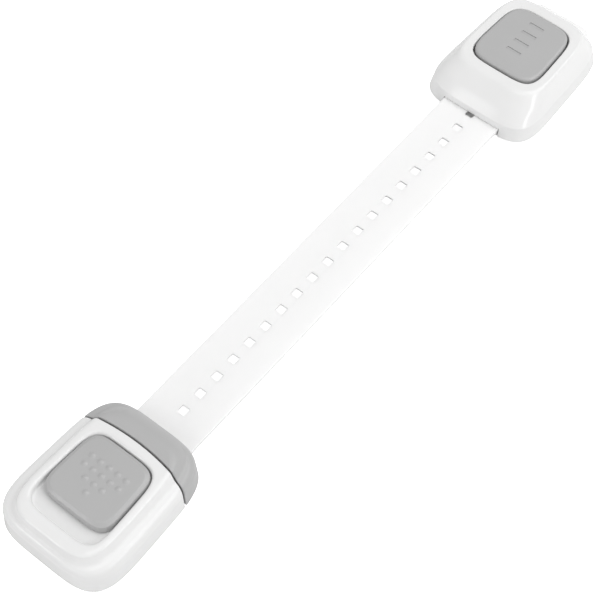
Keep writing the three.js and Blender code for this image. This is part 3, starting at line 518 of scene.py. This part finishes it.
def draft_holes(mesh):
    """Widens the strap's square holes toward their lower side."""
    for vertex in mesh.vertices:
        x, y, z = vertex.co / MM
        hole = round((x - FIRST_HOLE) / HOLE_PITCH)
        middle = FIRST_HOLE + hole * HOLE_PITCH
        if 0 <= hole < HOLE_COUNT and max(abs(x - middle), abs(y)) < HOLE_SIZE / 2 + 2 * STRAP_EDGE:
            depth = (STRAP_TOP - z) / (STRAP_TOP - STRAP_BOTTOM)
            grow = 1 + HOLE_DRAFT * max(depth - DRAFT_START, 0)
            vertex.co = ((middle + (x - middle) * grow) * MM, y * grow * MM, z * MM)


def strap():
    half = STRAP_WIDTH / 2 - STRAP_EDGE
    outlines = [rounded_rectangle(STRAP_START + STRAP_EDGE, STRAP_END - STRAP_EDGE, -half, half,
                                  STRAP_CORNER - STRAP_EDGE, 12)]
    size = HOLE_SIZE / 2 + STRAP_EDGE
    for i in range(HOLE_COUNT):
        x = FIRST_HOLE + i * HOLE_PITCH
        outlines.append(rounded_rectangle(x - size, x + size, -size, size, HOLE_CORNER + STRAP_EDGE, 6))
    size = ANCHOR_HOLE / 2 + STRAP_EDGE
    for y in (-ANCHOR_SPREAD / 2, ANCHOR_SPREAD / 2):
        outlines.append(rounded_rectangle(ANCHOR_X - size, ANCHOR_X + size, y - size, y + size, size, 8))
    curve = bpy.data.curves.new("strap_outline", "CURVE")
    curve.dimensions = "2D"
    curve.fill_mode = "BOTH"
    curve.extrude = ((STRAP_TOP - STRAP_BOTTOM) / 2 - STRAP_EDGE) * MM
    curve.bevel_depth = STRAP_EDGE * MM
    curve.bevel_resolution = 4
    for points in outlines:
        spline = curve.splines.new("POLY")
        spline.points.add(len(points) - 1)
        spline.points.foreach_set("co", [v for x, y in points for v in (x * MM, y * MM, 0, 1)])
        spline.use_cyclic_u = True
    drawn = add_object("strap_outline", curve)
    mesh = bpy.data.meshes.new_from_object(drawn.evaluated_get(bpy.context.evaluated_depsgraph_get()))
    bpy.data.objects.remove(drawn)
    mesh.transform(Matrix.Translation((0, 0, (STRAP_TOP + STRAP_BOTTOM) / 2 * MM)))
    draft_holes(mesh)
    return add_object("strap_band", mesh)


# Materials

DRIFT_SCALE, GLOSS_SCALE = 70, 160
GLOSS_SPREAD = 0.15
GRAIN_DEPTH = 0.00005


def plastic(name, colour, roughness, vary=0.012, grain=900.0, bump=0.05, specular=0.5):
    """Moulded plastic with faint colour drift, uneven gloss and a fine moulded grain."""
    material = bpy.data.materials.new(name)
    material.use_nodes = True
    nodes, links = material.node_tree.nodes, material.node_tree.links
    shader = nodes["Principled BSDF"]
    shader.inputs["Specular IOR Level"].default_value = specular
    place = nodes.new("ShaderNodeTexCoord")

    def noise(scale, detail):
        node = nodes.new("ShaderNodeTexNoise")
        node.inputs["Scale"].default_value = scale
        node.inputs["Detail"].default_value = detail
        links.new(place.outputs["Object"], node.inputs["Vector"])
        return node.outputs["Fac"]

    ramp = nodes.new("ShaderNodeValToRGB")
    ramp.color_ramp.elements[0].position = 0.3
    ramp.color_ramp.elements[1].position = 0.7
    ramp.color_ramp.elements[0].color = (*[c * (1 - vary) for c in colour], 1)
    ramp.color_ramp.elements[1].color = (*[min(c * (1 + vary), 1) for c in colour], 1)
    links.new(noise(DRIFT_SCALE, 3), ramp.inputs["Fac"])
    links.new(ramp.outputs["Color"], shader.inputs["Base Color"])
    gloss = nodes.new("ShaderNodeMapRange")
    gloss.inputs["To Min"].default_value = roughness * (1 - GLOSS_SPREAD)
    gloss.inputs["To Max"].default_value = roughness * (1 + GLOSS_SPREAD)
    links.new(noise(GLOSS_SCALE, 2), gloss.inputs["Value"])
    links.new(gloss.outputs["Result"], shader.inputs["Roughness"])
    relief = nodes.new("ShaderNodeBump")
    relief.inputs["Strength"].default_value = bump
    relief.inputs["Distance"].default_value = GRAIN_DEPTH
    links.new(noise(grain, 2), relief.inputs["Height"])
    links.new(relief.outputs["Normal"], shader.inputs["Normal"])
    return material


def metal(name, colour, roughness):
    material = plastic(name, colour, roughness, vary=0.05, grain=2500.0, bump=0.1)
    material.node_tree.nodes["Principled BSDF"].inputs["Metallic"].default_value = 1
    return material


def translucent(name, colour, roughness, depth):
    """Plastic that lets some light in."""
    material = plastic(name, colour, roughness, bump=0.1)
    shader = material.node_tree.nodes["Principled BSDF"]
    shader.inputs["Subsurface Weight"].default_value = 0.7
    shader.inputs["Subsurface Radius"].default_value = (1, 1, 1)
    shader.inputs["Subsurface Scale"].default_value = depth
    return material


WHITE = plastic("white gloss plastic", (0.84, 0.84, 0.838), 0.17)
GREY = plastic("grey satin plastic", (0.455, 0.455, 0.455), 0.34)
BAND = translucent("white strap plastic", (0.97, 0.97, 0.965), 0.42, 0.0016)
INNER = plastic("natural plastic", (0.74, 0.73, 0.68), 0.45, bump=0.1)
FOAM = plastic("foam pad", (0.72, 0.72, 0.7), 0.9, vary=0.04, grain=2200.0, bump=0.5, specular=0.2)
STEEL = metal("bright steel", (0.6, 0.61, 0.62), 0.28)
SLOT_LOOKS = {
    "white_shell": WHITE, "grey_control": GREY, "white_strap": BAND,
    "inner_plastic": INNER, "foam_pad": FOAM, "steel": STEEL,
}


def paint(piece, look):
    piece.data.materials.clear()
    piece.data.materials.append(look)


def dress():
    """Smooth pieces over the nodes that show, and looks on the rest."""
    pieces = [
        (latch_housing(), "latch", "latch_housing", "white_shell"),
        (slide_button(), "release", "slide_button", "grey_control"),
        (plug_cover(), "strap_and_plug", "plug_cover", "grey_control"),
        (strap(), "strap_and_plug", "strap", "white_strap"),
        (adjuster_housing(), "adjuster", "adjuster_housing", "white_shell"),
        (push_button(), "push", "push_button", "grey_control"),
    ]
    for piece, body, node, slot in pieces:
        finish_mesh(piece)
        paint(piece, SLOT_LOOKS[slot])
        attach(piece, body)
        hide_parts(node)
    for part in frame["record"]["subparts"]:
        node = frame["nodes"][part["node"]]
        for slot in node.material_slots:
            slot.material = SLOT_LOOKS[part["material_slot"]]


# Stage, in metres and watts

FLOOR_HALF = 3.0
FLOOR_GLOW = 0.8
SKY = 0.5


def floor():
    """Pale floor that takes shadows, and glows for the camera alone."""
    mesh = bpy.data.meshes.new("floor")
    half = FLOOR_HALF
    corners = [(-half, -half, 0), (half, -half, 0), (half, half, 0), (-half, half, 0)]
    mesh.from_pydata(corners, [], [(0, 1, 2, 3)])
    ground = add_object("floor", mesh)
    material = bpy.data.materials.new("white floor")
    material.use_nodes = True
    nodes, links = material.node_tree.nodes, material.node_tree.links
    shader = nodes["Principled BSDF"]
    shader.inputs["Base Color"].default_value = (0.9, 0.9, 0.9, 1)
    shader.inputs["Roughness"].default_value = 0.8
    shader.inputs["Specular IOR Level"].default_value = 0.1
    glow = nodes.new("ShaderNodeEmission")
    glow.inputs["Color"].default_value = (1, 1, 1, 1)
    path = nodes.new("ShaderNodeLightPath")
    strength = nodes.new("ShaderNodeMath")
    strength.operation = "MULTIPLY"
    strength.inputs[1].default_value = FLOOR_GLOW
    links.new(path.outputs["Is Camera Ray"], strength.inputs[0])
    links.new(strength.outputs["Value"], glow.inputs["Strength"])
    both = nodes.new("ShaderNodeAddShader")
    links.new(shader.outputs["BSDF"], both.inputs[0])
    links.new(glow.outputs["Emission"], both.inputs[1])
    links.new(both.outputs["Shader"], nodes["Material Output"].inputs["Surface"])
    ground.data.materials.append(material)


def softbox(name, place, aim, width, height, power):
    """Rectangular light at a place, turned toward its aim."""
    light = bpy.data.lights.new(name, "AREA")
    light.shape = "RECTANGLE"
    light.size = width
    light.size_y = height
    light.energy = power
    lamp = bpy.data.objects.new(name, light)
    bpy.context.scene.collection.objects.link(lamp)
    lamp.location = place
    direction = np.array(aim, float) - np.array(place, float)
    yaw = math.atan2(direction[1], direction[0])
    pitch = math.atan2(direction[2], math.hypot(direction[0], direction[1]))
    lamp.rotation_euler = (math.pi / 2 + pitch, 0, yaw - math.pi / 2)


def lights():
    softbox("key softbox", (0.5, -0.3, 0.85), (0, 0, 0), 0.8, 0.8, 4.2)
    softbox("left softbox", (-0.72, 0.33, 0.45), (-0.1, 0, 0), 0.16, 0.4, 1.0)
    softbox("right softbox", (0.05, -0.7, 0.52), (-0.05, 0, 0), 0.45, 0.16, 1.2)
    softbox("near strip", (0.168, -0.484, 0.845), (-0.1, -0.016, 0), 0.06, 0.3, 0.2)
    softbox("rear strip", (-0.65, 0.37, 0.76), (-0.117, 0, 0), 0.08, 0.2, 0.2)
    softbox("top softbox", (0.02, 0.03, 0.9), (0, 0, 0), 0.3, 0.3, 0.5)
    softbox("low softbox", (-0.9, -0.05, 0.16), (0, 0, 0), 0.5, 0.22, 0.7)
    world = bpy.data.worlds.new("studio")
    bpy.context.scene.world = world
    world.use_nodes = True
    world.node_tree.nodes["Background"].inputs["Color"].default_value = (1, 1, 1, 1)
    world.node_tree.nodes["Background"].inputs["Strength"].default_value = SKY


def camera():
    """Camera fitted to the strap's holes and both units in the photo."""
    lens = bpy.data.cameras.new("photo camera")
    lens.sensor_fit = "HORIZONTAL"
    lens.sensor_width = 36
    lens.lens = 102.1
    lens.clip_end = 20
    eye = bpy.data.objects.new("photo camera", lens)
    bpy.context.scene.collection.objects.link(eye)
    eye.location = (-0.21879, -0.16625, 0.40923)
    eye.rotation_euler = (math.radians(32.887), 0, math.radians(-50.996))
    bpy.context.scene.camera = eye


camera()
dress()
floor()
lights()
bpy.context.scene.view_settings.view_transform = "Standard"
